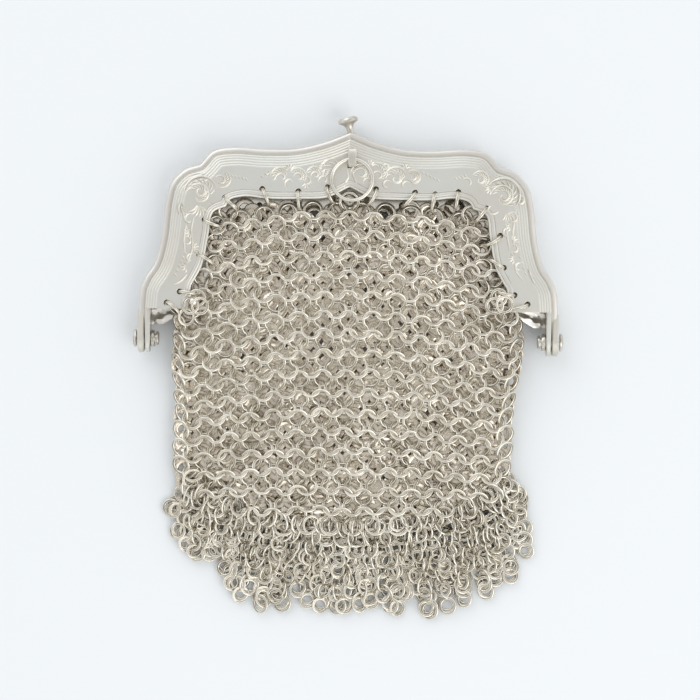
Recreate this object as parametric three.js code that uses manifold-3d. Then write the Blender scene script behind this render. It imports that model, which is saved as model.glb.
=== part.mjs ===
import * as THREE from "three";
import { mergeVertices } from "three/addons/utils/BufferGeometryUtils.js";
import Module from "manifold-3d";

const wasm = await Module();
wasm.setup();

// The purse lies on its back. X runs across it, Y up it from the hinge axis, Z up from the surface.
// All sizes are in millimetres.

// Frame halves
const frameWidth = 90.4;
const frameHeight = 44.5;
const frameDepth = 8.6;
const sheet = 0.7;
const backRimHeight = 5.6;
const backRimWall = 1.2;
const nestGap = 0.4;
const frontRimLow = 2.6;
const mouldingWidth = 2.6;
const mouldingDrop = 1.1;
const backEdgeRise = 0.45;
const stripRise = 1.0;
const backLip = 0.8;
const plateEnd = 6.3;
const gussetRun = 4.0;
const gussetDrop = 3.2;

// Hinges
const hingeHeight = 4.3;
const lugRadius = 3.0;
const lugThick = 0.9;
const rivetRadius = 1.0;
const rivetHeadRadius = 1.9;
const rivetHead = 0.8;
const innerHeadRadius = 1.5;
const innerHead = 0.6;
const lugSteps = 8;
const washerRadius = 1.8;
const washerThick = 0.9;
const clearance = 0.3;

// Clasp
const pivotX = 1.5;
const pivotDrop = 5.7;
const leverLean = 14;
const leverHeight = 4.2;
const leverThick = 1.0;
const leverArm = 1.7;
const leverEye = 1.9;
const stemRadius = 0.7;
const knobOut = 2.8;
const knobRadius = 2.15;
const knobThick = 1.1;
const postRadius = 0.8;
const postHeadRadius = 1.3;
const postHead = 0.5;
const toothReach = 2.1;
const toothLow = 2.0;
const toothWide = 0.9;
const leverTravel = 16;
const catchThick = 0.9;
const catchLip = 0.85;
const catchLipThick = 0.8;

// Carrying ring and its staple
const ringRadius = 4.35;
const ringWire = 0.38;
const ringX = 0.5;
const stapleDrop = 3.8;
const stapleLength = 4.0;
const stapleWidth = 1.7;
const stapleStrip = 0.5;
const stapleToe = 0.8;

// Jump rings that sew the mesh to the frame
const jumpRadius = 2.0;
const jumpWire = 0.25;
const jumpHole = 0.65;
const eyeletHole = 0.75;
const jumpInset = 1.1;
const jumpRunOut = 3.3;

// Mesh bag
const bagGap = 0.35;
const bagDrop = 41.5;
const bagHingeGap = 3.3;
const bagFlare = 1.8;
const bagCorner = 4.8;
const bagRound = 11.7;
const bagWall = 1.1;
const edgeFall = 0.2;
const slitEnd = 4.5;
const netColumn = 10.2;
const netRow = 8.5;
const netEye = 3.0;
const netMargin = 3.2;

// Fringe
const fringeLength = 17.0;
const fringeStrip = 1.6;
const lockRoot = 3.4;
const lockTip = 2.0;
const lockHeight = 2.4;

// Shares of half the frame width and of the frame height, from the crown out and down to a hinge
const outlineRuns = [
  [[0, 1], [0.118, 0.952], [0.26, 0.918], [0.4, 0.914], [0.55, 0.921], [0.647, 0.902], [0.7085, 0.837]],
  [[0.7085, 0.837], [0.779, 0.813], [0.843, 0.746], [0.869, 0.65], [0.888, 0.482], [0.919, 0.362], [0.959, 0.3]],
];
const legRun = [[0.959, 0.3], [0.9825, 0.242]];
const legShare = 0.992;

// The front plate's inner edge in the same shares, split at its cusps
const edgeRuns = [
  [[0, 0.7314], [0.104, 0.681], [0.227, 0.6724], [0.392, 0.6724], [0.491, 0.6815], [0.562, 0.664], [0.581, 0.633]],
  [[0.581, 0.633], [0.642, 0.602], [0.661, 0.501], [0.69, 0.3525], [0.7416, 0.2518]],
];
const edgeShare = 0.7558;

// Where the back panel steps up to the strip that the mesh is sewn to, in the same shares
const stepRun = [[0, 0.79], [0.1, 0.765], [0.24, 0.745], [0.51, 0.745], [0.68, 0.668], [0.742, 0.52], [0.775, 0.34]];
const stepShare = 0.86;

// Front jump rings: place along half the inner edge, minus on the left, and lean in degrees
const frontJumps = [
  [-0.985, 28], [-0.875, 0], [-0.719, -23], [-0.582, -10], [-0.487, 5], [-0.346, 23], [-0.207, 5], [-0.1, 8],
  [0.107, -13], [0.261, -28], [0.337, -10], [0.426, 0], [0.536, 15], [0.638, 20], [0.759, -28], [0.877, -20],
  [0.985, -28],
];
const backJumps = [
  [-0.9, 0], [-0.66, 0], [-0.42, 0], [-0.16, 0], [0.16, 0], [0.42, 0], [0.68, 0], [0.9, 0],
];

// Height of the bag's front and back as shares of the frame's depth, at shares of the bag's drop
const bagRows = [
  { at: 0.82, top: 0.86, low: 0.117 },
  { at: 0.45, top: 0.86, low: 0.117 },
  { at: 0.08, top: 0.86, low: 0.117 },
  { at: -0.04, top: 0.79, low: 0.07 },
  { at: -0.2, top: 0.67, low: 0 },
  { at: -0.36, top: 0.54, low: 0 },
  { at: -0.55, top: 0.43, low: 0 },
  { at: -0.78, top: 0.39, low: 0 },
  { at: -1.02, top: 0.36, low: 0 },
];

// Side of the bag below the frame: flare past its half width and place, as shares
const sideRows = [[1, 1], [1.05, 0.56], [0.62, -0.06], [0.12, -0.77], [0, -1.75]];

// Locks of the fringe from left to right: lean in degrees and length as a share
const lockRows = [
  [-28, 0.4], [-20, 0.6], [-19, 0.62], [-18, 0.58], [-15, 0.68], [-12, 0.84], [-9, 0.92], [-6, 0.95],
  [-5, 0.86], [-4, 0.83], [-3, 0.9], [0, 0.85], [2, 0.88], [4, 0.83], [6, 0.91], [8, 0.92], [12, 1],
  [15, 1], [18, 0.97], [23, 0.96], [28, 0.95], [33, 0.9], [42, 0.76], [52, 0.5],
];

const halfWidth = frameWidth / 2;
const frontInset = backRimWall + nestGap;
const plateLow = frameDepth - sheet;
const stripTop = stripRise + sheet;
const backEnd = plateEnd - gussetDrop;
const bagEdge = backLip + bagGap;
const pivotY = frameHeight - pivotDrop;
const knobReach = pivotDrop + knobOut;
const stapleTop = frameHeight - stapleDrop;
const degrees = Math.PI / 180;

// Hinge stack along X, from the outside in
const backLugOuter = legShare * halfWidth;
const backLugInner = backLugOuter - backRimWall;
const frontLugOuter = backLugInner - clearance;
const frontLugInner = frontLugOuter - lugThick;
const rivetInner = frontLugInner - 2 * clearance - washerThick;
const bagHalfWidth = rivetInner - innerHead - bagHingeGap - bagFlare;

const frameMaterial = () =>
  new THREE.MeshStandardMaterial({ color: 0xcfcabb, roughness: 0.34, metalness: 1 });
const fittingMaterial = () =>
  new THREE.MeshStandardMaterial({ color: 0xb9b3a2, roughness: 0.38, metalness: 1 });
const meshMaterial = () =>
  new THREE.MeshStandardMaterial({ color: 0xc6c0ae, roughness: 0.42, metalness: 1 });

// A closed geometry as a solid that can be joined and cut
function solid(geometry) {
  const bare = geometry.clone();
  bare.deleteAttribute("normal");
  bare.deleteAttribute("uv");
  const merged = mergeVertices(bare, 1e-4);
  const corners = [];
  for (let i = 0; i < merged.index.count; i += 3) {
    const [a, b, c] = [0, 1, 2].map((k) => merged.index.getX(i + k));
    if (a !== b && b !== c && c !== a) corners.push(a, b, c);
  }
  return new wasm.Manifold(
    new wasm.Mesh({
      numProp: 3,
      vertProperties: new Float32Array(merged.attributes.position.array),
      triVerts: new Uint32Array(corners),
    }),
  );
}

function geometryOf(body) {
  const { vertProperties, triVerts } = body.getMesh();
  const geometry = new THREE.BufferGeometry();
  geometry.setAttribute("position", new THREE.BufferAttribute(vertProperties, 3));
  geometry.setIndex(new THREE.BufferAttribute(triVerts, 1));
  geometry.computeVertexNormals();
  return geometry;
}

const joined = (bodies) => bodies.reduce((whole, body) => whole.add(body));
const cut = (body, tools) => tools.reduce((left, tool) => left.subtract(tool), body);

function prism(outline, low, high) {
  const shape = new THREE.Shape(outline);
  const geometry = new THREE.ExtrudeGeometry(shape, { depth: high - low, bevelEnabled: false });
  return solid(geometry.translate(0, 0, low));
}

// An outline in Y and Z, given its thickness along X
function sidePrism(outline, from, to) {
  const shape = new THREE.Shape(outline);
  const geometry = new THREE.ExtrudeGeometry(shape, { depth: to - from, bevelEnabled: false });
  const turn = new THREE.Matrix4().makeBasis(
    new THREE.Vector3(0, 1, 0),
    new THREE.Vector3(0, 0, 1),
    new THREE.Vector3(1, 0, 0),
  );
  return solid(geometry.applyMatrix4(turn).translate(from, 0, 0));
}

function block(x0, x1, y0, y1, z0, z1) {
  const geometry = new THREE.BoxGeometry(x1 - x0, y1 - y0, z1 - z0);
  return solid(geometry.translate((x0 + x1) / 2, (y0 + y1) / 2, (z0 + z1) / 2));
}

function post(x, y, radius, low, high, sides) {
  const geometry = new THREE.CylinderGeometry(radius, radius, high - low, sides);
  return solid(geometry.rotateX(Math.PI / 2).translate(x, y, (low + high) / 2));
}

// A smooth half line through shares of the frame, from the middle outwards
function run(shares, steps) {
  const points = shares.map(([x, y]) => new THREE.Vector3(x * halfWidth, y * frameHeight, 0));
  const curve = new THREE.CatmullRomCurve3(points, false, "centripetal");
  return curve.getSpacedPoints(steps).map((p) => new THREE.Vector2(p.x, p.y));
}

// The half line and its mirror image as one line from left to right
function mirrored(half) {
  const left = half.slice(1).map((p) => new THREE.Vector2(-p.x, p.y));
  return [...left.reverse(), ...half];
}

function outline(endY) {
  const leg = run([...legRun, [legShare, endY / frameHeight]], 3).slice(1);
  return mirrored([...run(outlineRuns[0], 10), ...run(outlineRuns[1], 8).slice(1), ...leg]);
}

function innerEdge(grow = 0) {
  const end = new THREE.Vector2(edgeShare * halfWidth, plateEnd - grow);
  return mirrored([...run(edgeRuns[0], 8), ...run(edgeRuns[1], 7).slice(1), end]);
}

const sewingStep = () =>
  mirrored([...run(stepRun, 11), new THREE.Vector2(stepShare * halfWidth, plateEnd)]);

// The line's points with their directions towards the inside of the frame, level at both ends
function railOf(line, reach) {
  return line.map((point, i) => {
    const before = line[Math.max(i - reach, 0)];
    const after = line[Math.min(i + reach, line.length - 1)];
    const along = after.clone().sub(before).normalize();
    const inward = new THREE.Vector2(along.y, -along.x);
    if (i === 0) inward.set(1, 0);
    if (i === line.length - 1) inward.set(-1, 0);
    return { point, inward };
  });
}

const inset = (rail, distance) =>
  rail.map(({ point, inward }) => point.clone().addScaledVector(inward, distance));

// The band between two lines that both run from left to right
const band = (outer, inner) => [...outer, ...[...inner].reverse()];

// Carries a profile of inset and height along a rail and closes both ends
function sweep(rail, rows) {
  const profile = rows.map(([inward, height]) => new THREE.Vector2(inward, height));
  if (THREE.ShapeUtils.isClockWise(profile)) profile.reverse();
  const count = profile.length;
  const positions = rail.flatMap(({ point, inward }) =>
    profile.flatMap(({ x, y }) => [point.x + inward.x * x, point.y + inward.y * x, y]),
  );
  const corners = [];
  for (let i = 0; i < rail.length - 1; i++) {
    for (let j = 0; j < count; j++) {
      const a = i * count + j;
      const b = i * count + ((j + 1) % count);
      corners.push(a, a + count, b, b, a + count, b + count);
    }
  }
  const last = (rail.length - 1) * count;
  for (const [a, b, c] of THREE.ShapeUtils.triangulateShape(profile, [])) {
    corners.push(a, b, c, last + a, last + c, last + b);
  }
  const geometry = new THREE.BufferGeometry();
  geometry.setAttribute("position", new THREE.Float32BufferAttribute(positions, 3));
  geometry.setIndex(corners);
  return solid(geometry);
}

const backRail = railOf(outline(backEnd), 2);
const frontRail = railOf(outline(plateEnd), 2);
const edgeRail = railOf(innerEdge(), 1);
const stepRail = railOf(sewingStep(), 1);

// Side wall of a half from the end of its plate to its rounded lug, for both sides
function legs(inner, outer, top, low, high) {
  const lug = Array.from({ length: lugSteps + 1 }, (_, i) => {
    const turn = -Math.PI / 2 - (i * Math.PI) / lugSteps;
    return new THREE.Vector2(lugRadius * Math.cos(turn), hingeHeight + lugRadius * Math.sin(turn));
  });
  const side = [new THREE.Vector2(top, high), ...lug.reverse(), new THREE.Vector2(top, low)];
  return joined([sidePrism(side, inner, outer), sidePrism(side, -outer, -inner)]);
}

function hingeBore() {
  const geometry = new THREE.CylinderGeometry(
    rivetRadius + clearance, rivetRadius + clearance, frameWidth * 1.1, 12,
  );
  return solid(geometry.rotateZ(Math.PI / 2).translate(0, 0, hingeHeight));
}

// Jump ring places on the line that the mesh hangs from: the inner edge, then out along the plate's end
function hangLine() {
  const half = innerEdge().slice((innerEdge().length - 1) / 2);
  const runOut = new THREE.Vector2(half.at(-1).x + jumpRunOut, plateEnd);
  return [...half, runOut];
}

function hangPoint(share) {
  const line = hangLine();
  const lengths = line.slice(1).map((p, i) => p.distanceTo(line[i]));
  let left = Math.abs(share) * lengths.reduce((sum, length) => sum + length);
  let i = 0;
  while (left > lengths[i] && i < lengths.length - 1) left -= lengths[i++];
  const point = line[i].clone().lerp(line[i + 1], left / lengths[i]);
  const along = line[Math.min(i + 2, line.length - 1)].clone().sub(line[Math.max(i - 1, 0)]);
  if (i === lengths.length - 1) along.set(1, 0);
  const inward = new THREE.Vector2(along.y, -along.x).normalize();
  if (share < 0) {
    point.x *= -1;
    inward.x *= -1;
  }
  return { point, inward };
}

const frontJumpHeight = frameDepth - sheet / 2 - 0.4 * jumpRadius;
const backJumpHeight = jumpRadius + jumpWire + 0.1;

// How far from a jump ring's middle its wire crosses a layer
const crossing = (ringHeight, layer) => Math.sqrt(jumpRadius ** 2 - (ringHeight - layer) ** 2);

function jumpPlaces(rows, ringHeight, plateMiddle, wallMiddle) {
  return rows.map(([share, lean]) => {
    const { point, inward } = hangPoint(share);
    const along = inward.clone().rotateAround(new THREE.Vector2(), lean * degrees);
    const hole = point.clone().addScaledVector(inward, -jumpInset);
    const middle = hole.clone().addScaledVector(along, crossing(ringHeight, plateMiddle));
    const eyelet = middle.clone().addScaledVector(along, crossing(ringHeight, wallMiddle));
    return { hole, middle, eyelet, turn: along.angle(), height: ringHeight };
  });
}

const bagTop = bagRows[0].top * frameDepth;
const bagLow = bagRows[0].low * frameDepth;
const frontPlaces = jumpPlaces(
  frontJumps, frontJumpHeight, frameDepth - sheet / 2, bagTop - bagWall / 2,
);
const backPlaces = jumpPlaces(
  backJumps, backJumpHeight, stripRise + sheet / 2, bagLow + bagWall / 2,
);

// The lever and its window in the rims
const stapleMiddle = stapleTop - stapleLength / 2;
const toCrown = frameHeight - pivotY;
const windowLeft = pivotX - toCrown * Math.sin(leverLean * degrees) - stemRadius - clearance;
const windowRight =
  pivotX + toCrown * Math.sin((leverTravel - leverLean) * degrees) + leverArm / 2 + clearance;
const windowLow = leverHeight - stemRadius - clearance;
const windowHigh = leverHeight + stemRadius + clearance;
const toothTip =
  pivotX - toothReach * Math.cos(leverLean * degrees)
  - (toothLow + toothWide / 2) * Math.sin(leverLean * degrees);

function backFrame() {
  const edge = inset(edgeRail, backLip);
  const outer = inset(backRail, mouldingWidth - sheet / 7);
  const step = inset(stepRail, 0);
  const stepOuter = inset(stepRail, -sheet);
  const rim = sweep(backRail, [
    [0.4, backRimHeight],
    [0, backRimHeight / 2],
    [0.2, backEdgeRise + 0.8],
    [0.7, backEdgeRise],
    [mouldingWidth, 0],
    [mouldingWidth, stripTop],
    [backRimWall, stripTop],
    [backRimWall, backRimHeight],
  ]);
  const panel = prism(band(outer, step), 0, sheet);
  const riser = prism(band(stepOuter, step), 0, stripTop);
  const strip = prism(band(step, edge), stripRise, stripTop);
  const gussets = [-1, 1].map((side) =>
    prism(
      [
        [edgeShare * halfWidth + gussetRun / 2, plateEnd + sheet],
        [edgeShare * halfWidth + gussetRun / 2, plateEnd],
        [edgeShare * halfWidth + gussetRun * 1.5, backEnd],
        [backLugInner + sheet / 2, backEnd],
        [backLugInner + sheet / 2, plateEnd + sheet],
      ].map(([x, y]) => new THREE.Vector2(side * x, y)),
      stripRise,
      stripTop,
    ),
  );
  const leg = legs(backLugInner, backLugOuter, backEnd + sheet, backEdgeRise, backRimHeight);
  const claspPost = post(pivotX, pivotY, postRadius, sheet / 2, leverHeight + 1, 10);
  const postLow = leverHeight + leverThick / 2 + clearance;
  const postCap = post(pivotX, pivotY, postHeadRadius, postLow, postLow + postHead, 10);
  const rimFoot = frameHeight - frontInset - mouldingWidth / 2;
  const crown = frameHeight + clearance;
  return cut(joined([rim, panel, riser, strip, ...gussets, leg, claspPost, postCap]), [
    hingeBore(),
    block(windowLeft, windowRight, rimFoot, crown, windowLow, windowHigh),
    block(windowLeft, windowLeft + clearance, rimFoot, crown, windowLow, backRimHeight + 1),
    ...backPlaces.map(({ hole }) => post(hole.x, hole.y, jumpHole, 0, stripTop + 1, 6)),
  ]);
}

function frontFrame() {
  const rail = frontRail.map(({ point, inward }) => ({
    point: point.clone().addScaledVector(inward, frontInset),
    inward,
  }));
  const shoulder = frameDepth - mouldingDrop;
  const rim = sweep(rail, [
    [0, frontRimLow],
    [0, shoulder - 0.3],
    [1.2, shoulder + 0.1],
    [1.4, shoulder + 0.4],
    [2.3, frameDepth - 0.4],
    [mouldingWidth, frameDepth],
    [mouldingWidth, plateLow],
    [mouldingWidth - 0.4, plateLow - 0.5],
    [sheet, shoulder - sheet],
    [sheet, frontRimLow],
  ]);
  const plate = prism(band(inset(rail, mouldingWidth - sheet / 7), inset(edgeRail, 0)), plateLow, frameDepth);
  const leg = legs(frontLugInner, frontLugOuter, plateEnd + sheet, frontRimLow, shoulder - 0.3);
  const catchRight = toothTip - clearance - 0.1;
  const catchY = pivotY + toothLow + toothWide / 2;
  const hook = joined([
    block(catchRight - catchThick, catchRight, catchY - sheet, catchY + sheet, frontRimLow, plateLow - 0.3),
    block(
      catchRight - 0.1, catchRight + catchLip, catchY - sheet, catchY + sheet,
      leverHeight - leverThick / 2 - clearance - catchLipThick,
      leverHeight - leverThick / 2 - clearance,
    ),
  ]);
  const rimFoot = frameHeight - frontInset - mouldingWidth;
  const slotHalf = stapleWidth / 2 + clearance;
  const slots = [stapleTop, stapleTop - stapleLength + stapleStrip].map((top) =>
    block(
      ringX - slotHalf, ringX + slotHalf, top - stapleStrip - clearance, top + clearance,
      plateLow - 1, frameDepth + 1,
    ),
  );
  return cut(joined([cut(rim, [
    block(windowLeft, windowRight, rimFoot, frameHeight, frontRimLow - 1, windowHigh),
  ]), plate, leg, hook]), [
    hingeBore(),
    ...slots,
    ...frontPlaces.map(({ hole }) => post(hole.x, hole.y, jumpHole, plateLow - 1, frameDepth + 1, 6)),
  ]);
}

// Rivet with a domed outer head, drawn along Y and laid along X by its mesh
function rivet() {
  const outer = backLugOuter + clearance;
  const profile = [
    [0, rivetInner - innerHead],
    [innerHeadRadius * 0.7, rivetInner - innerHead],
    [innerHeadRadius, rivetInner - innerHead / 2],
    [innerHeadRadius, rivetInner],
    [rivetRadius, rivetInner],
    [rivetRadius, outer],
    [rivetHeadRadius, outer],
    [rivetHeadRadius, outer + rivetHead * 0.4],
    [rivetHeadRadius * 0.65, outer + rivetHead * 0.85],
    [0, outer + rivetHead],
  ].map(([radius, along]) => new THREE.Vector2(radius, along));
  return geometryOf(solid(new THREE.LatheGeometry(profile, 12)));
}

function washer() {
  const outer = frontLugInner - clearance;
  const profile = [
    [rivetRadius + clearance, outer - washerThick],
    [washerRadius, outer - washerThick],
    [washerRadius, outer],
    [rivetRadius + clearance, outer],
    [rivetRadius + clearance, outer - washerThick],
  ].map(([radius, along]) => new THREE.Vector2(radius, along));
  return geometryOf(solid(new THREE.LatheGeometry(profile, 12)));
}

// Lever drawn about its pivot with the knob along +Y
function claspLever() {
  const half = leverThick / 2;
  const arm = block(-leverArm / 2, leverArm / 2, 0, toCrown * 0.8, -half, half);
  const eye = post(0, 0, leverEye, -half, half, 14);
  const tooth = block(-toothReach, 0, toothLow, toothLow + toothWide, -half, half);
  const neck = toCrown * 0.5;
  const head = knobReach - knobThick / 2;
  const turned = [
    [0, neck],
    [stemRadius, neck],
    [stemRadius, head - 0.9],
    [stemRadius * 1.7, head],
    [knobRadius, head + knobThick * 0.15],
    [knobRadius, head + knobThick * 0.75],
    [knobRadius * 0.8, head + knobThick],
    [0, head + knobThick],
  ].map(([radius, along]) => new THREE.Vector2(radius, along));
  const knob = solid(new THREE.LatheGeometry(turned, 14));
  const bore = post(0, 0, postRadius + clearance, -leverThick, leverThick, 12);
  return geometryOf(cut(joined([arm, eye, tooth, knob]), [bore]));
}

// Strap over the ring's wire, its feet through the plate and its toes turned in beneath
function ringStaple() {
  const low = stapleTop - stapleLength;
  const top = frameDepth + 2 * clearance + 2 * ringWire + clearance + stapleStrip;
  const toe = plateLow - clearance;
  const side = [
    [low, top],
    [low, toe - stapleStrip],
    [low + stapleStrip + stapleToe, toe - stapleStrip],
    [low + stapleStrip + stapleToe, toe],
    [low + stapleStrip, toe],
    [low + stapleStrip, top - stapleStrip],
    [stapleTop - stapleStrip, top - stapleStrip],
    [stapleTop - stapleStrip, toe],
    [stapleTop - stapleStrip - stapleToe, toe],
    [stapleTop - stapleStrip - stapleToe, toe - stapleStrip],
    [stapleTop, toe - stapleStrip],
    [stapleTop, top],
  ].map(([y, z]) => new THREE.Vector2(y, z));
  return geometryOf(sidePrism(side, ringX - stapleWidth / 2, ringX + stapleWidth / 2));
}

// Right side of the bag, from its top corner down to where the bottom begins to curve
const sidePoints = () =>
  sideRows.map(([flare, place]) => new THREE.Vector2(bagHalfWidth + flare * bagFlare, place * bagCorner));

const bagBottomY = -(bagDrop - bagRound);

// The curved bottom of the bag from right to left, pushed out by a distance
function bottomArc(out, steps) {
  return Array.from({ length: steps + 1 }, (_, i) => {
    const turn = (-i * Math.PI) / steps;
    return new THREE.Vector2(
      (bagHalfWidth + out) * Math.cos(turn),
      bagBottomY + (bagRound + out) * Math.sin(turn),
    );
  });
}

const flipped = (points) => points.map((p) => new THREE.Vector2(-p.x, p.y)).reverse();

function bagPlan() {
  const top = inset(edgeRail, bagEdge);
  const cornerDrop = clearance * 2;
  const shoulders = new THREE.Vector2(top.at(-1).x + clearance, plateEnd - cornerDrop);
  const side = [shoulders, ...sidePoints()];
  return [...top, ...side, ...bottomArc(0, 14), ...flipped(side)];
}

function pocketPlan() {
  const reach = frameWidth;
  const side = sidePoints().map((p) => new THREE.Vector2(p.x - bagWall, Math.min(p.y, slitEnd)));
  const mouth = [
    new THREE.Vector2(-reach, slitEnd),
    new THREE.Vector2(-reach, frameHeight * 2),
    new THREE.Vector2(reach, frameHeight * 2),
    new THREE.Vector2(reach, slitEnd),
  ];
  return [...mouth, ...side, ...bottomArc(-bagWall, 14), ...flipped(side)];
}

// A slab that follows the bag's lie, thinned by the same amount on its top and its underside
function bagSlab(thin) {
  const columns = [-1, -0.85, 0, 0.85, 1];
  const spread = bagHalfWidth + bagFlare * 1.2;
  const level = (row, column, top) => {
    const fall = edgeFall * Math.abs(column) ** 8;
    return (top ? row.top * frameDepth - fall : row.low * frameDepth) + (top ? -thin : thin);
  };
  const positions = [];
  for (const top of [true, false]) {
    for (const row of bagRows) {
      for (const column of columns) {
        positions.push(column * spread, row.at * bagDrop, level(row, column, top));
      }
    }
  }
  const wide = columns.length;
  const layer = wide * bagRows.length;
  const corners = [];
  const quad = (a, b, c, d) => corners.push(a, b, c, a, c, d);
  for (let r = 0; r < bagRows.length - 1; r++) {
    for (let c = 0; c < wide - 1; c++) {
      const a = r * wide + c;
      quad(a, a + wide, a + wide + 1, a + 1);
      quad(layer + a, layer + a + 1, layer + a + wide + 1, layer + a + wide);
    }
    const a = r * wide;
    const b = a + wide - 1;
    quad(a, layer + a, layer + a + wide, a + wide);
    quad(b, b + wide, layer + b + wide, layer + b);
  }
  for (let c = 0; c < wide - 1; c++) {
    const a = c;
    const b = layer - wide + c;
    quad(a, a + 1, layer + a + 1, layer + a);
    quad(b, layer + b, layer + b + 1, b + 1);
  }
  const geometry = new THREE.BufferGeometry();
  geometry.setAttribute("position", new THREE.Float32BufferAttribute(positions, 3));
  geometry.setIndex(corners);
  return solid(geometry);
}

// Diamond eyes of the net through both walls, every other row shifted by half a column
function netEyes() {
  const eyes = [];
  const lowest = -bagDrop + netMargin + netEye / 2;
  const highest = frameHeight * edgeRuns[0][2][1] - bagEdge - 2 * jumpRadius;
  const rows = Math.floor((highest - lowest) / netRow);
  for (let r = 0; r <= rows; r++) {
    const y = lowest + r * netRow;
    const below = Math.min((y - bagBottomY) / bagRound, 0);
    const above = y > slitEnd - netMargin ? edgeRuns[1][2][0] * halfWidth - bagEdge : bagHalfWidth;
    const half = above * Math.sqrt(1 - below ** 2) - netMargin;
    const shift = r % 2 ? netColumn / 2 : 0;
    const count = Math.floor((half - shift) / netColumn);
    for (let c = r % 2 ? -count - 1 : -count; c <= count; c++) {
      const x = c * netColumn + shift;
      eyes.push(
        prism(
          [[0, -1], [0.7, 0], [0, 1], [-0.7, 0]].map(
            ([u, v]) => new THREE.Vector2(x + (u * netEye) / 2, y + (v * netEye) / 2),
          ),
          -1,
          frameDepth + 1,
        ),
      );
    }
  }
  return eyes;
}

function meshBag() {
  const body = prism(bagPlan(), -1, frameDepth).intersect(bagSlab(0));
  const pocket = prism(pocketPlan(), -1, frameDepth).intersect(bagSlab(bagWall));
  const middle = (bagTop + bagLow) / 2;
  return geometryOf(
    cut(body, [
      pocket,
      ...netEyes(),
      ...frontPlaces.map(({ eyelet }) => post(eyelet.x, eyelet.y, eyeletHole, middle, frameDepth, 6)),
      ...backPlaces.map(({ eyelet }) => post(eyelet.x, eyelet.y, eyeletHole, -1, middle, 6)),
    ]),
  );
}

// One lock: a low ridge that narrows and sinks from the strip to its tip
function fringeLock(root, lean, length, lift) {
  const sections = [
    [-0.05, 0.8, 1],
    [0.45, 1, lift],
    [1, lockTip / lockRoot, lift * 0.6],
  ];
  const positions = sections.flatMap(([along, wide, high]) => {
    const y = -along * length;
    const half = (wide * lockRoot) / 2;
    const z = high * lockHeight;
    return [-half, y, 0, half, y, 0, half * 0.6, y, z, -half * 0.6, y, z];
  });
  const corners = [];
  for (let i = 0; i < sections.length - 1; i++) {
    for (let j = 0; j < 4; j++) {
      const a = i * 4 + j;
      const b = i * 4 + ((j + 1) % 4);
      corners.push(a, b, a + 4, b, b + 4, a + 4);
    }
  }
  const last = (sections.length - 1) * 4;
  corners.push(0, 2, 1, 0, 3, 2, last, last + 1, last + 2, last, last + 2, last + 3);
  const geometry = new THREE.BufferGeometry();
  geometry.setAttribute("position", new THREE.Float32BufferAttribute(positions, 3));
  geometry.setIndex(corners);
  geometry.rotateZ(lean * degrees).translate(root.x, root.y, 0);
  return solid(geometry);
}

function fringe() {
  const near = bottomArc(clearance, 14);
  const far = bottomArc(clearance + fringeStrip, 14);
  const strip = prism([...near, ...[...far].reverse()], 0, lockHeight * 0.9);
  const middle = new THREE.SplineCurve(bottomArc(clearance + fringeStrip / 2, 30).reverse());
  const last = lockRows.length - 1;
  const locks = lockRows.map(([lean, share], i) => {
    const root = middle.getPointAt((i + 0.35) / (last + 0.7));
    return fringeLock(root, lean, share * fringeLength, i % 2 ? 0.85 : 1);
  });
  return geometryOf(joined([strip, ...locks]));
}

function jumpRing() {
  return new THREE.TorusGeometry(jumpRadius, jumpWire, 5, 10).rotateX(Math.PI / 2);
}

function carryingRing() {
  return new THREE.TorusGeometry(ringRadius, ringWire, 6, 20);
}

function named(name, geometry, material) {
  const mesh = new THREE.Mesh(geometry, material);
  mesh.name = name;
  return mesh;
}

function placed(mesh, x, y, z) {
  mesh.position.set(x, y, z);
  return mesh;
}

function hinge(side, turn) {
  const rivetMesh = named(`hinge_rivet_${side}`, rivet(), fittingMaterial());
  const washerMesh = named(`hinge_washer_${side}`, washer(), fittingMaterial());
  return [rivetMesh, washerMesh].map((mesh) => {
    mesh.rotation.z = (turn * Math.PI) / 2;
    return placed(mesh, 0, 0, hingeHeight);
  });
}

function jumpRings(side, places) {
  return places.map(({ middle, turn, height }, i) => {
    const name = `jump_ring_${side}_${String(i + 1).padStart(2, "0")}`;
    const mesh = named(name, jumpRing(), meshMaterial());
    mesh.rotation.z = turn;
    return placed(mesh, middle.x, middle.y, height);
  });
}

function clasp() {
  const lever = named("clasp_lever", claspLever(), fittingMaterial());
  lever.rotation.z = leverLean * degrees;
  return placed(lever, pivotX, pivotY, leverHeight);
}

function bail() {
  const ring = named("carrying_ring", carryingRing(), fittingMaterial());
  const ringHeight = frameDepth + clearance + ringWire;
  return placed(ring, ringX, stapleMiddle - clearance - ringRadius, ringHeight);
}

const purse = new THREE.Group();
purse.add(
  named("back_frame", geometryOf(backFrame()), frameMaterial()),
  named("front_frame", geometryOf(frontFrame()), frameMaterial()),
  ...hinge("left", 1),
  ...hinge("right", -1),
  clasp(),
  named("ring_staple", ringStaple(), fittingMaterial()),
  bail(),
  named("mesh_bag", meshBag(), meshMaterial()),
  named("fringe", fringe(), meshMaterial()),
  ...jumpRings("front", frontPlaces),
  ...jumpRings("back", backPlaces),
);

// The origin is under the middle of the purse, halfway between the knob and the fringe's tips
const knobTop = pivotY + (knobReach + knobThick / 2) * Math.cos(leverLean * degrees);
purse.position.y = (bagDrop + fringeLength - knobTop) / 2;

export default purse;
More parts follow.
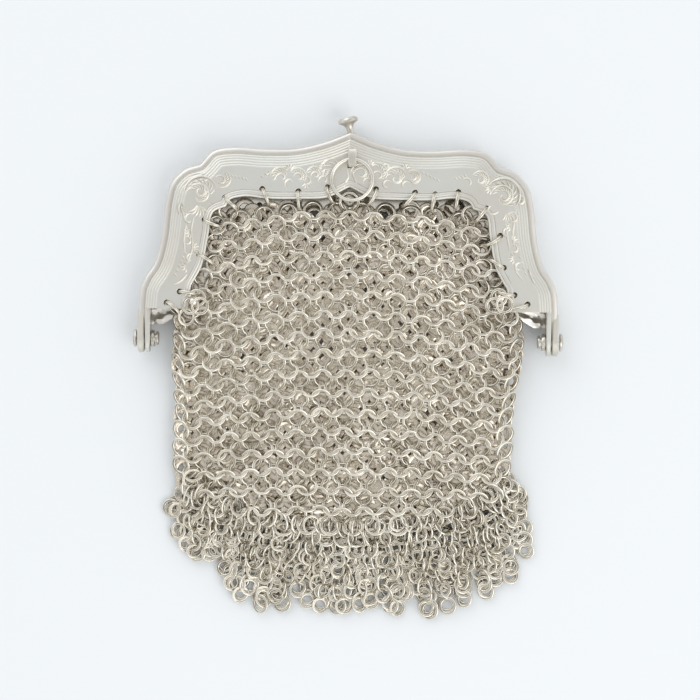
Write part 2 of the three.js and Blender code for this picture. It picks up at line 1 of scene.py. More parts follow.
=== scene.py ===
import bpy
import math
import numpy as np
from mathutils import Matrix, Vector


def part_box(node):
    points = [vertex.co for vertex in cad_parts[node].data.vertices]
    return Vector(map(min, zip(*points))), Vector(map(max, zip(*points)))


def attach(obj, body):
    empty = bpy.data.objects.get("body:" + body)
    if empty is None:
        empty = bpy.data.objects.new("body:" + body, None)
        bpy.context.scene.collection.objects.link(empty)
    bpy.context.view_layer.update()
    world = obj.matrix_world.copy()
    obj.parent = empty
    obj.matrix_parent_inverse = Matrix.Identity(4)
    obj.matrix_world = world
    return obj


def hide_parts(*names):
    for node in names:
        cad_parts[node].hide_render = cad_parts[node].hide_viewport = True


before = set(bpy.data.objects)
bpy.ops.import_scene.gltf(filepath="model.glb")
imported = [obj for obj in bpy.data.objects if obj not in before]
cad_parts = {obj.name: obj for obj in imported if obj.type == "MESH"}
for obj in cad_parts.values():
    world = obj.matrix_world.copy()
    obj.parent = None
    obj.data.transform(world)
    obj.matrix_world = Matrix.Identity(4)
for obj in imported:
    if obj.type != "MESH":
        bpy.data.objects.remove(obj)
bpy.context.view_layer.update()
scene = bpy.context.scene
rng = np.random.default_rng(7)

# Shapes are drawn in millimetres about the hinge axis: X across, Y up the purse, Z up from the surface.
MM = 0.001
LEFT_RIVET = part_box("hinge_rivet_left")
HINGE_ROW = (LEFT_RIVET[0][1] + LEFT_RIVET[1][1]) / 2 / MM

# Frame halves, as in the solids
FRAME_WIDTH, FRAME_HEIGHT, FRAME_DEPTH = 90.4, 44.5, 8.6
HALF = FRAME_WIDTH / 2
SHEET = 0.7
PLATE_LOW = FRAME_DEPTH - SHEET
FRONT_INSET = 1.6
MOULDING = 2.6
STRIP_LOW, STRIP_TOP = 1.0, 1.7
PLATE_END = 6.3
BACK_END = 3.1
BACK_LIP = 2.3
RIM_END = 0.4
RIM_TOP = 6.0
FRONT_RIM_LOW = 2.6
HINGE_HEIGHT = 4.3
LUG_RADIUS = 3.0
LEG_SHARE = 0.992
FRONT_LEG, BACK_LEG = (42.2, 43.2), (43.45, 44.82)
PLATE_HOLE, STRIP_HOLE = 0.62, 0.6

# Clasp, ring and staple
PIVOT = (1.5, 38.8, 4.2)
LEAN = math.radians(14)
LEVER_HALF = 0.5
ARM_HALF, ARM_LENGTH = 0.85, 4.56
TOOTH_REACH, TOOTH_LOW, TOOTH_TOP = 2.1, 2.0, 2.9
RING_RADIUS, RING_WIRE, RING_X, RING_GAP = 4.35, 0.38, 0.5, 0.3
STAPLE_TOP, STAPLE_LOW, STAPLE_WIDTH = 40.7, 36.7, 1.7
STAPLE_STRIP, STAPLE_FOOT = 0.5, 1.3
RING_Z = FRAME_DEPTH + RING_GAP + RING_WIRE
RING_Y = (STAPLE_TOP + STAPLE_LOW) / 2 - RING_GAP - RING_RADIUS

# Mail: ring radius, width and thickness of the wire, then the lattice of the front and of the back
MAIL_RADIUS, BACK_RADIUS = 1.94, 1.68
MAIL_RADIAL, BACK_RADIAL, MAIL_AXIAL = 0.69, 1.26, 0.46
WIRE_CUT = 0.19
# How far below a ring's middle its faces get the painted shade
PAINTED_SHADE_LEVEL = -0.1
FLOOR_GAP = 0.03
SEGMENTS, BACK_SEGMENTS = 28, 14
WANDER, BACK_WANDER = 0.08, 0.1
COLUMNS, BACK_COLUMNS = 29, 40
HALF_ROW, BACK_HALF_ROW = 2.1, 1.6
MAIL_TILT, BACK_TILT = 21, 9
BAG_TOP = 4.5
BAG_LOW = -40.6
BAG_HALF, BAG_ROUND = 35.3, 11.7
BAG_CURVE_Y = -29.8
BAG_SPLIT = -14

# Shares of half the frame width and of the frame height, from the crown out and down to a hinge
OUTLINE_CROWN = [(0, 1), (0.118, 0.952), (0.26, 0.918), (0.4, 0.914), (0.55, 0.921), (0.647, 0.902),
                 (0.7085, 0.837)]
OUTLINE_LOBE = [(0.7085, 0.837), (0.779, 0.813), (0.843, 0.746), (0.869, 0.65), (0.888, 0.482),
                (0.919, 0.362), (0.959, 0.3)]
LEG_RUN = [(0.959, 0.3), (0.9825, 0.242)]
EDGE_TOP = [(0, 0.7314), (0.104, 0.681), (0.227, 0.6724), (0.392, 0.6724), (0.491, 0.6815), (0.562, 0.664),
            (0.581, 0.633)]
EDGE_SIDE = [(0.581, 0.633), (0.642, 0.602), (0.661, 0.501), (0.69, 0.3525), (0.7416, 0.2518)]
EDGE_SHARE = 0.7558
STEP_RUN = [(0, 0.79), (0.1, 0.765), (0.24, 0.745), (0.51, 0.745), (0.68, 0.668), (0.742, 0.52),
            (0.775, 0.34)]
STEP_SHARE = 0.86

# Holes of the front plate in the same shares, and the way each jump ring hangs, in degrees
FRONT_HOLES = [
    (-0.855, 0.170, -42), (-0.7936, 0.223, -9), (-0.7038, 0.4005, -34), (-0.680, 0.568, -21),
    (-0.5857, 0.674, -45), (-0.411, 0.717, -67), (-0.241, 0.7074, -85), (-0.104, 0.7314, -67),
    (0.123, 0.722, -118), (0.307, 0.7074, -132), (0.4015, 0.70, -100), (0.510, 0.712, -99),
    (0.642, 0.6355, -128), (0.7086, 0.506, -149), (0.7275, 0.3525, 148), (0.779, 0.223, 168),
    (0.841, 0.180, -165),
]
# Holes along the back strip, in millimetres
BACK_HOLES = [(-29.0, 20.1), (-25.7, 26.5), (-19.3, 28.7), (-11.8, 29.0), (-3.6, 30.2),
              (3.8, 30.1), (11.2, 29.0), (18.5, 29.3), (24.7, 27.9), (28.9, 21.2)]

# Moulding of the front plate: inset and drop below its face
MOULDING_ROWS = [
    (0, 0.85), (0.08, 0.62), (0.25, 0.5), (0.55, 0.44), (0.61, 0.47), (0.68, 0.4), (1.1, 0.32), (1.16, 0.35),
    (1.23, 0.29), (1.65, 0.21), (1.71, 0.24), (1.78, 0.17), (2.2, 0.09), (2.26, 0.12), (2.33, 0.05),
    (2.55, 0.01), (2.8, 0),
]
# Borders along the arch: inset and rise above the plate's face
BEAD_ROWS = [(0.04, -0.05), (-0.04, 0.06), (-0.16, 0.11), (-0.3, 0.06), (-0.4, -0.02)]
BAND_ROWS = [(-0.6, -0.02), (-0.7, 0.04), (-0.95, 0.06), (-1.2, 0.04), (-1.32, -0.02)]
# Rim of the back half: inset and height, up its outside and down inside
RIM_OUTSIDE = [(0.62, RIM_TOP), (0.34, 5.88), (0.12, 5.45), (0, 4.6), (0, 3.3), (0.1, 2.3), (0.34, 1.3),
               (0.8, 0.6), (1.3, 0.28)]
RIM_INSIDE = [(1.46, STRIP_TOP), (1.5, 5.6), (1.46, 5.86), (1.3, 5.97), (1.1, RIM_TOP)]


# Lines

def through(points, steps):
    """Centripetal Catmull-Rom line through the points, evenly spaced."""
    points = [np.array(p, float) for p in points]
    points = [2 * points[0] - points[1]] + points + [2 * points[-1] - points[-2]]
    line = []
    for i in range(1, len(points) - 2):
        p = points[i - 1:i + 3]
        t = [0.0]
        for a, b in zip(p, p[1:]):
            t.append(t[-1] + max(np.linalg.norm(b - a), 1e-9) ** 0.5)
        for s in np.linspace(t[1], t[2], 30, endpoint=False):
            a = [(p[k] * (t[k + 1] - s) + p[k + 1] * (s - t[k])) / (t[k + 1] - t[k]) for k in range(3)]
            b = [(a[k] * (t[k + 2] - s) + a[k + 1] * (s - t[k])) / (t[k + 2] - t[k]) for k in range(2)]
            line.append((b[0] * (t[2] - s) + b[1] * (s - t[1])) / (t[2] - t[1]))
    line.append(points[-2])
    return evenly(np.array(line), steps)


def evenly(line, steps):
    lengths = np.concatenate([[0], np.cumsum(np.linalg.norm(np.diff(line, axis=0), axis=1))])
    places = np.linspace(0, lengths[-1], steps + 1)
    return np.stack([np.interp(places, lengths, line[:, k]) for k in range(line.shape[1])], axis=1)


def shares(table):
    return [(x * HALF, y * FRAME_HEIGHT) for x, y in table]


def mirrored(half):
    left = half[:0:-1] * [-1, 1]
    return np.concatenate([left, half])


def outline(end_y):
    leg = through(shares(LEG_RUN + [(LEG_SHARE, end_y / FRAME_HEIGHT)]), 14)[1:]
    crown = through(shares(OUTLINE_CROWN), 60)
    return mirrored(np.concatenate([crown, through(shares(OUTLINE_LOBE), 44)[1:], leg]))


def inner_edge():
    end = [[EDGE_SHARE * HALF, PLATE_END]]
    return mirrored(np.concatenate([through(shares(EDGE_TOP), 44), through(shares(EDGE_SIDE), 32)[1:], end]))


def sewing_step():
    return mirrored(np.concatenate([through(shares(STEP_RUN), 60), [[STEP_SHARE * HALF, PLATE_END]]]))


def rail_of(line, reach=2):
    """Points with their directions towards the inside of the frame, level at both ends."""
    last = len(line) - 1
    inward = []
    for i in range(last + 1):
        along = line[min(i + reach, last)] - line[max(i - reach, 0)]
        along = along / np.linalg.norm(along)
        inward.append((along[1], -along[0]))
    inward[0], inward[-1] = (1, 0), (-1, 0)
    return line, np.array(inward)


def inset(rail, distance):
    return rail[0] + rail[1] * distance


# Meshes

def sweep(rail, rows):
    """Carries a closed profile of inset and height along a rail, with both ends closed."""
    rows = np.array(rows, float)
    area = sum(a[0] * b[1] - b[0] * a[1] for a, b in zip(rows, np.roll(rows, -1, axis=0)))
    if area < 0:
        rows = rows[::-1]
    line, inward = rail
    count, length = len(rows), len(line)
    flat = line[:, None, :] + inward[:, None, :] * rows[None, :, :1]
    heights = np.broadcast_to(rows[None, :, 1:], (length, count, 1))
    verts = np.concatenate([flat, heights], axis=2).reshape(-1, 3)
    faces = []
    for i in range(length - 1):
        for j in range(count):
            a, b = i * count + j, i * count + (j + 1) % count
            faces.append((a, a + count, b + count, b))
    faces.append(tuple(range(count)))
    faces.append(tuple((length - 1) * count + j for j in reversed(range(count))))
    return verts, faces


def merged(parts):
    verts, faces, base = [], [], 0
    for v, f in parts:
        v = np.asarray(v, float)
        verts.append(v)
        faces.extend([tuple(int(k) + base for k in face) for face in f])
        base += len(v)
    return np.concatenate(verts), faces


def plate(border, holes, low, high, bevel=0.08):
    """Flat sheet with round-edged holes, filled from a flat curve."""
    curve = bpy.data.curves.new("flat", "CURVE")
    curve.dimensions, curve.fill_mode = "2D", "BOTH"
    curve.extrude, curve.bevel_depth, curve.bevel_resolution = (high - low) / 2 - bevel, bevel, 1
    curve.offset = -bevel
    for loop in [border, *holes]:
        spline = curve.splines.new("POLY")
        spline.points.add(len(loop) - 1)
        spline.use_cyclic_u = True
        for point, (x, y) in zip(spline.points, loop):
            point.co = (x, y, 0, 1)
    obj = bpy.data.objects.new("flat", curve)
    scene.collection.objects.link(obj)
    mesh = bpy.data.meshes.new_from_object(obj.evaluated_get(bpy.context.evaluated_depsgraph_get()))
    verts = np.array([v.co[:] for v in mesh.vertices]) + [0, 0, (low + high) / 2]
    faces = [tuple(p.vertices) for p in mesh.polygons]
    bpy.data.objects.remove(obj)
    bpy.data.curves.remove(curve)
    bpy.data.meshes.remove(mesh)
    return verts, faces


def circle(x, y, radius, sides=20):
    turn = np.linspace(0, 2 * math.pi, sides, endpoint=False)
    return np.stack([x + radius * np.cos(turn), y + radius * np.sin(turn)], axis=1)


def box_loop(x0, x1, y0, y1):
    return np.array([(x0, y0), (x1, y0), (x1, y1), (x0, y1)], float)


def lathe(profile, sides, at, axis, wobble=0.0):
    """Turns radius and distance rows about an axis through a point."""
    axis = Vector(axis).normalized()
    side = axis.orthogonal().normalized()
    other = axis.cross(side)
    at = Vector(at)
    verts, faces = [], []
    for r, (radius, along) in enumerate(profile):
        for s in range(sides):
            turn = 2 * math.pi * s / sides
            dent = 1 + wobble * (math.sin(3 * turn + r) + 0.6 * math.sin(5 * turn + 2 * r))
            point = at + axis * along + (side * math.cos(turn) + other * math.sin(turn)) * radius * dent
            verts.append(point[:])
    for r in range(len(profile) - 1):
        for s in range(sides):
            a, b = r * sides + s, r * sides + (s + 1) % sides
            faces.append((a, b, b + sides, a + sides))
    faces.append(tuple(reversed(range(sides))))
    faces.append(tuple((len(profile) - 1) * sides + s for s in range(sides)))
    return np.array(verts), faces


def slab(loop, axis_from, axis_to, plane="YZ", bevel=0.12):
    """Outline in two axes given a thickness along the third, with softened edges."""
    loop = np.array(loop, float)
    area = sum(a[0] * b[1] - b[0] * a[1] for a, b in zip(loop, np.roll(loop, -1, axis=0)))
    if area < 0:
        loop = loop[::-1]
    before, after = np.roll(loop, 1, axis=0), np.roll(loop, -1, axis=0)
    along = after - before
    along /= np.linalg.norm(along, axis=1)[:, None]
    out = np.stack([along[:, 1], -along[:, 0]], axis=1)
    levels = [(axis_from, -bevel), (axis_from + bevel, 0), (axis_to - bevel, 0), (axis_to, -bevel)]
    count = len(loop)
    verts = []
    for level, grow in levels:
        for u, v in loop + out * grow:
            verts.append({"YZ": (level, u, v), "XY": (u, v, level)}[plane])
    faces = []
    for k in range(len(levels) - 1):
        for i in range(count):
            a, b = k * count + i, k * count + (i + 1) % count
            faces.append((a, b, b + count, a + count))
    faces.append(tuple(reversed(range(count))))
    faces.append(tuple((len(levels) - 1) * count + i for i in range(count)))
    return np.array(verts), faces


def section(radial, axial):
    """Flat wire with softened corners: offsets out from the ring and along its axis, and their normals."""
    r, a, cut = radial / 2, axial / 2, WIRE_CUT
    places = [(r, cut - a), (r, a - cut), (r - cut, a), (cut - r, a),
              (-r, a - cut), (-r, cut - a), (cut - r, -a), (r - cut, -a)]
    normals = np.array([(1, -0.2), (1, 0.2), (0.15, 1), (-0.15, 1), (-1, 0.2), (-1, -0.2), (-0.15, -1),
                        (0.15, -1)])
    return np.array(places), normals / np.linalg.norm(normals, axis=1)[:, None]


def round_section(radial, axial, corners):
    turn = np.linspace(0, 2 * math.pi, corners, endpoint=False)
    normals = np.stack([np.cos(turn), np.sin(turn)], axis=1)
    return normals * [radial / 2, axial / 2], normals


def rings(centres, across, along, radius, wire, segments, squeeze=0.035):
    """Many wire rings as one mesh. Each lies in the plane of its two directions, above the surface.
    The last value tells plain faces (0) from corners with a painted highlight (1) and the low half with
    painted shade (2)."""
    centres, across, along = (np.asarray(a, float) for a in (centres, across, along))
    n = len(centres)
    axis = np.cross(across, along)
    radius = np.broadcast_to(radius, (n,))
    oval = 1 + squeeze * rng.standard_normal(n)
    turn = np.linspace(0, 2 * math.pi, segments, endpoint=False)
    sect, bend = wire
    c, s = np.cos(turn)[None, :, None], np.sin(turn)[None, :, None]
    rad = radius[:, None, None] + sect[None, None, :, 0]
    u, v = rad * c * oval[:, None, None], rad * s / oval[:, None, None]
    across, along, axis = (a[:, None, None, :] for a in (across, along, axis))
    verts = centres[:, None, None, :] + u[..., None] * across + v[..., None] * along
    verts = verts + sect[:, 1][:, None] * axis
    lift = np.maximum(FLOOR_GAP - verts[..., 2].min(axis=(1, 2)), 0)
    verts[..., 2] += lift[:, None, None]
    out = bend[:, 0][:, None] * (c[..., None] * across + s[..., None] * along) + bend[:, 1][:, None] * axis
    corners = len(sect)
    i, j = np.meshgrid(np.arange(segments), np.arange(corners), indexing="ij")
    i2, j2 = (i + 1) % segments, (j + 1) % corners
    quad = np.stack([i * corners + j, i2 * corners + j, i2 * corners + j2, i * corners + j2], axis=-1)
    faces = (quad.reshape(-1, 4)[None] + (np.arange(n) * segments * corners)[:, None, None]).reshape(-1, 4)
    # Corners of the wire take the painted highlight, and faces low in a ring take the painted shade.
    rise = (verts[..., 2].mean(axis=2) - verts[..., 2].mean(axis=(1, 2))[:, None])[:, :, None]
    edge = (np.arange(corners) % 2).astype(bool)[None, None, :]
    light_and_shade_index = np.where(edge, 1, np.where(rise < PAINTED_SHADE_LEVEL, 2, 0)).reshape(-1)
    return verts.reshape(-1, 3), faces.tolist(), out.reshape(-1, 3), light_and_shade_index


def piece(name, parts, material, body, nodes=(), sharp=38):
    """One object from its meshes, with its finish, its body and the solids that it stands for.
    Three finishes go to the plain faces of rings, their corners with a painted highlight and their low halves
    with painted shade."""
    verts, faces, normals, light_and_shade_index = parts if isinstance(parts, tuple) else (*merged(parts), None, None)
    points = np.asarray(verts, float) * MM
    points[:, 1] += HINGE_ROW * MM
    mesh = bpy.data.meshes.new(name)
    mesh.from_pydata(points.tolist(), [], faces)
    mesh.update()
    mesh.shade_smooth()
    if normals is None:
        mesh.set_sharp_from_angle(angle=math.radians(sharp))
    else:
        mesh.normals_split_custom_set_from_vertices(normals.tolist())
    for finish in material if isinstance(material, tuple) else (material,):
        mesh.materials.append(finish)
    if isinstance(material, tuple):
        mesh.polygons.foreach_set("material_index", light_and_shade_index.astype(np.int32))
    obj = bpy.data.objects.new(name, mesh)
    scene.collection.objects.link(obj)
    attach(obj, body)
    if nodes:
        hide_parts(*nodes)
    return obj


# Materials

def metal(name, light, dark, rough, patch, grain=3400, relief=0.000003):
    """Worn German silver: cloudy tone, fine rubbed grain and dull patches."""
    material = bpy.data.materials.new(name)
    material.use_nodes = True
    nodes, links = material.node_tree.nodes, material.node_tree.links
    shader = nodes["Principled BSDF"]
    shader.inputs["Metallic"].default_value = 1.0
    place = nodes.new("ShaderNodeTexCoord")
    cloud = nodes.new("ShaderNodeTexNoise")
    cloud.inputs["Scale"].default_value = patch
    cloud.inputs["Detail"].default_value = 5
    ramp = nodes.new("ShaderNodeValToRGB")
    ramp.color_ramp.elements[0].position, ramp.color_ramp.elements[0].color = 0.34, (*dark, 1)
    ramp.color_ramp.elements[1].position, ramp.color_ramp.elements[1].color = 0.62, (*light, 1)
    links.new(place.outputs["Object"], cloud.inputs["Vector"])
    links.new(cloud.outputs["Fac"], ramp.inputs["Fac"])
    links.new(ramp.outputs["Color"], shader.inputs["Base Color"])
    fine = nodes.new("ShaderNodeTexNoise")
    fine.inputs["Scale"].default_value = grain
    fine.inputs["Detail"].default_value = 4
    dull = nodes.new("ShaderNodeMapRange")
    dull.inputs["To Min"].default_value, dull.inputs["To Max"].default_value = rough - 0.09, rough + 0.12
    links.new(place.outputs["Object"], fine.inputs["Vector"])
    links.new(fine.outputs["Fac"], dull.inputs["Value"])
    links.new(dull.outputs["Result"], shader.inputs["Roughness"])
    bump = nodes.new("ShaderNodeBump")
    bump.inputs["Distance"].default_value = relief
    bump.inputs["Strength"].default_value = 0.6
    links.new(fine.outputs["Fac"], bump.inputs["Height"])
    links.new(bump.outputs["Normal"], shader.inputs["Normal"])
    return material


plate_metal = metal("frame_silver", (0.735, 0.73, 0.685), (0.70, 0.675, 0.61), 0.42, patch=60)
leg_metal = metal("leg_silver", (0.72, 0.70, 0.64), (0.64, 0.61, 0.54), 0.45, patch=160)
# Warmer, lighter finish of the engraved crests: a warm tint and a painted highlight.
engraved_tint_and_highlight = metal("engraved_silver", (0.88, 0.85, 0.77), (0.74, 0.70, 0.61), 0.42, patch=420)
# Dark finish of the thin lines that paint the shade of the engraved cuts.
cut_shade_metal = metal("engraved_painted_shade", (0.56, 0.54, 0.48), (0.42, 0.39, 0.33), 0.5, patch=420)
# Lighter, smoother finish of the back strip: painted light on a strip that lies in the front plate's shade.
strip_painted_light_metal = metal("strip_silver_painted_light", (0.93, 0.90, 0.83), (0.84, 0.80, 0.71), 0.17, patch=150)
rim_metal = metal("rim_silver", (0.83, 0.80, 0.75), (0.77, 0.73, 0.68), 0.36, patch=80)
fitting_metal = metal("fitting_silver", (0.74, 0.71, 0.65), (0.52, 0.48, 0.42), 0.3, patch=300)
ring_metal = metal("ring_silver", (0.86, 0.83, 0.76), (0.70, 0.66, 0.58), 0.25, patch=200)
MAIL_GRAIN = {"patch": 170, "grain": 2200, "relief": 0.00001}
mail_dull = metal("mail_silver", (0.60, 0.56, 0.48), (0.47, 0.43, 0.35), 0.42, **MAIL_GRAIN)
# Lighter, smoother copy of the mail silver for the corners of the wire: a painted highlight.
mail_corner_highlight = metal("mail_corner_painted_highlight", (0.96, 0.92, 0.83), (0.84, 0.79, 0.69), 0.26, patch=170)
# Darker copy of the mail silver for the low half of each ring: painted shade.
mail_low_half_shade = metal("mail_low_half_painted_shade", (0.38, 0.34, 0.27), (0.27, 0.24, 0.18), 0.5, **MAIL_GRAIN)
# Mail silver in three copies: plain faces, corners with a painted highlight, and the low half of each ring
# with painted shade.
mail_metal = (mail_dull, mail_corner_highlight, mail_low_half_shade)
# Lighter, smoother finish of the back mail: painted light on rings that lie in the shade of the front mail.
back_mail_painted_light_metal = metal("mail_inner_painted_light", (0.88, 0.81, 0.70), (0.70, 0.63, 0.53), 0.24, **MAIL_GRAIN)


def floor_material():
    material = bpy.data.materials.new("pale_floor")
    material.use_nodes = True
    nodes, links = material.node_tree.nodes, material.node_tree.links
    shader = nodes["Principled BSDF"]
    shader.inputs["Roughness"].default_value = 0.9
    shader.inputs["Specular IOR Level"].default_value = 0.1
    noise = nodes.new("ShaderNodeTexNoise")
    noise.inputs["Scale"].default_value = 3
    ramp = nodes.new("ShaderNodeValToRGB")
    ramp.color_ramp.elements[0].color = (0.81, 0.838, 0.862, 1)
    ramp.color_ramp.elements[1].color = (0.848, 0.865, 0.872, 1)
    links.new(noise.outputs["Fac"], ramp.inputs["Fac"])
    links.new(ramp.outputs["Color"], shader.inputs["Base Color"])
    return material


# Frame

back_rail = rail_of(outline(BACK_END))
rim_rail = rail_of(outline(RIM_END))
front_rail = rail_of(outline(PLATE_END))
edge_rail = rail_of(inner_edge(), 1)
step_rail = rail_of(sewing_step(), 1)


def shifted(rail, distance):
    return inset(rail, distance), rail[1]


def legs(sides, top, low, high, bevel):
    """Both legs of a frame half, with round ends about the hinge axis."""
    inner, outer = sides
    turn = -math.pi / 2 - np.linspace(0, math.pi, 19)
    lug = [(LUG_RADIUS * math.cos(t), HINGE_HEIGHT + LUG_RADIUS * math.sin(t)) for t in turn[::-1]]
    side = [(top, high), *lug, (top, low)]
    return [slab(side, inner, outer, bevel=bevel), slab(side, -outer, -inner, bevel=bevel)]


def ridge(points, width, height, level, taper=True):
    """Low engraved line with a bright crest, thinning to its ends."""
    points = np.asarray(points, float)
    last = len(points) - 1
    along = np.gradient(points, axis=0)
    along /= np.linalg.norm(along, axis=1)[:, None]
    side = np.stack([-along[:, 1], along[:, 0]], axis=1)
    verts, faces = [], []
    for i, (point, out) in enumerate(zip(points, side)):
        swell = math.sin(math.pi * (i + 0.4) / (last + 0.8)) ** 0.6 if taper else 1
        half = width / 2 * swell
        for offset, rise in ((-half, 0), (-half * 0.35, 1), (half * 0.35, 1), (half, 0)):
            verts.append((*(point + out * offset), level + rise * height * swell))
    for i in range(last):
        a = i * 4
        for j in range(3):
            faces.append((a + j, a + j + 4, a + j + 5, a + j + 1))
    return np.array(verts), faces


def spiral(x, y, r0, r1, a0, a1):
    turn = np.radians(np.linspace(a0, a1, max(8, int(abs(a1 - a0) / 9))))
    radius = np.linspace(r0, r1, len(turn))
    return np.stack([x + radius * np.cos(turn), y + radius * np.sin(turn)], axis=1)


# Scrolls of the front plate: middle, first and last radius, first and last angle
SCROLLS = [
    (-31.5, 31.0, 3.7, 3.4, 175, 15), (-31.9, 30.6, 2.5, 1.4, 150, -120), (-31.7, 31.4, 1.7, 0.5, 60, -240),
    (-27.3, 33.9, 2.1, 1.7, 60, -110), (-27.4, 33.6, 1.3, 0.4, 150, -140), (-33.6, 28.0, 2.4, 2.9, 160, 215),
    (-14.7, 34.5, 2.2, 1.9, 180, 40), (-14.5, 34.3, 1.3, 0.4, 200, -60), (-11.0, 34.6, 2.0, 1.6, 150, -40),
    (-10.9, 34.5, 1.1, 0.4, 180, -120), (-7.4, 35.1, 1.9, 1.5, 170, 20), (-7.3, 34.9, 1.0, 0.3, 200, -90),
    (-2.9, 35.0, 3.9, 3.7, 170, 95), (-2.6, 34.8, 3.2, 3.0, 185, 150), (2.3, 35.5, 2.1, 1.8, 190, -40),
    (2.4, 35.4, 1.4, 0.5, 170, -150), (5.8, 35.4, 2.4, 2.0, 100, -30), (6.0, 34.9, 1.2, 0.4, 170, -110),
    (9.9, 34.5, 2.6, 2.2, 170, 20), (9.8, 34.4, 1.7, 0.5, 120, -200), (13.5, 34.7, 1.6, 1.3, 130, -90),
    (13.4, 34.7, 0.8, 0.3, 90, -200),
    (-16.6, 34.3, 1.2, 0.6, 170, -60), (-12.7, 33.2, 1.3, 0.5, 250, 20), (-9.2, 33.6, 1.2, 0.4, 120, -120),
    (-5.5, 33.9, 1.2, 0.4, 200, -60), (3.9, 33.6, 1.1, 0.4, 200, -60), (7.9, 33.0, 1.2, 0.4, 30, 280),
    (11.9, 32.9, 1.3, 0.5, -20, 230), (7.8, 36.8, 0.9, 0.4, 190, -20), (-33.9, 25.3, 1.3, 0.5, 60, 300),
    (-30.0, 28.2, 1.4, 0.5, 200, 420), (-34.5, 20.6, 1.2, 0.4, 120, -130), (-33.6, 17.0, 1.1, 0.4, 60, 290),
    (34.6, 26.2, 1.5, 0.5, 120, -130), (33.6, 23.0, 1.3, 0.4, 60, 290), (35.0, 19.6, 1.2, 0.4, 120, -120),
    (30.3, 28.3, 1.5, 0.5, -20, -240), (36.1, 30.0, 1.2, 0.5, 80, -150), (36.2, 15.8, 1.1, 0.4, 60, 290),
    (27.8, 34.4, 1.9, 1.6, 150, -60), (27.7, 34.3, 1.1, 0.3, 100, -210), (32.7, 31.1, 3.8, 3.5, 150, -45),
    (32.6, 30.9, 2.6, 1.6, 170, -120), (32.7, 30.8, 1.5, 0.4, 120, -240), (24.9, 33.6, 1.2, 0.7, 130, -30),
]
# Curved stems down both legs and beside the ring
STEMS = [
    [(-35.8, 28.1), (-35.2, 26.4), (-34.9, 24.9)],
    [(-32.9, 26.0), (-33.5, 23.0), (-33.2, 19.5), (-34.3, 15.8)],
    [(-34.6, 24.2), (-35.0, 21.2), (-34.8, 18.4)], [(-34.3, 13.6), (-35.8, 12.0), (-37.2, 11.4)],
    [(-0.6, 36.2), (-0.3, 34.6), (-0.9, 33.4), (-1.2, 32.2)], [(0.4, 36.4), (1.0, 34.4), (1.6, 33.2)],
    [(34.3, 28.0), (35.0, 25.6), (34.8, 22.8), (35.2, 19.8)], [(33.2, 25.6), (33.6, 22.4), (34.2, 19.2)],
    [(38.2, 15.6), (38.8, 14.0), (39.5, 12.5)], [(35.2, 16.8), (35.8, 14.6), (37.2, 13.0)],
]
# Fans of short leaf strokes: middle, reach, first and last angle, count
LEAVES = [
    (-32.0, 28.4, 2.6, 200, 300, 6), (-33.7, 22.6, 1.5, 110, 250, 5), (-33.2, 19.0, 1.5, -60, 70, 5),
    (-34.4, 15.2, 1.3, 120, 240, 4), (-12.8, 36.0, 1.3, 20, 150, 5), (-9.2, 33.3, 1.2, 200, 340, 5),
    (-5.6, 36.6, 1.1, 60, 180, 4), (4.3, 37.0, 1.3, 0, 120, 5), (7.9, 36.2, 1.2, 20, 140, 4),
    (11.7, 36.4, 1.2, 10, 130, 4), (29.9, 32.6, 1.4, 120, 250, 5), (33.3, 27.4, 1.8, 230, 330, 6),
    (34.6, 21.3, 1.4, -60, 70, 5), (35.2, 17.8, 1.4, 100, 230, 5), (34.3, 24.6, 1.3, 110, 230, 4),
]
# Rows of dots that run out of the scrolls: first place, last place, count
DOTS = [
    ((-24.9, 34.7), (-21.9, 34.0), 5), ((-34.7, 18.2), (-36.8, 13.6), 6), ((15.6, 35.8), (18.8, 34.2), 5),
    ((24.6, 35.2), (22.6, 34.6), 4), ((-17.0, 35.6), (-18.6, 34.6), 3), ((36.4, 18.0), (37.6, 14.6), 4),
]


# Height of the thin dark lines that paint the shade beside the engraving
SHADE_LINE_RISE = 0.02


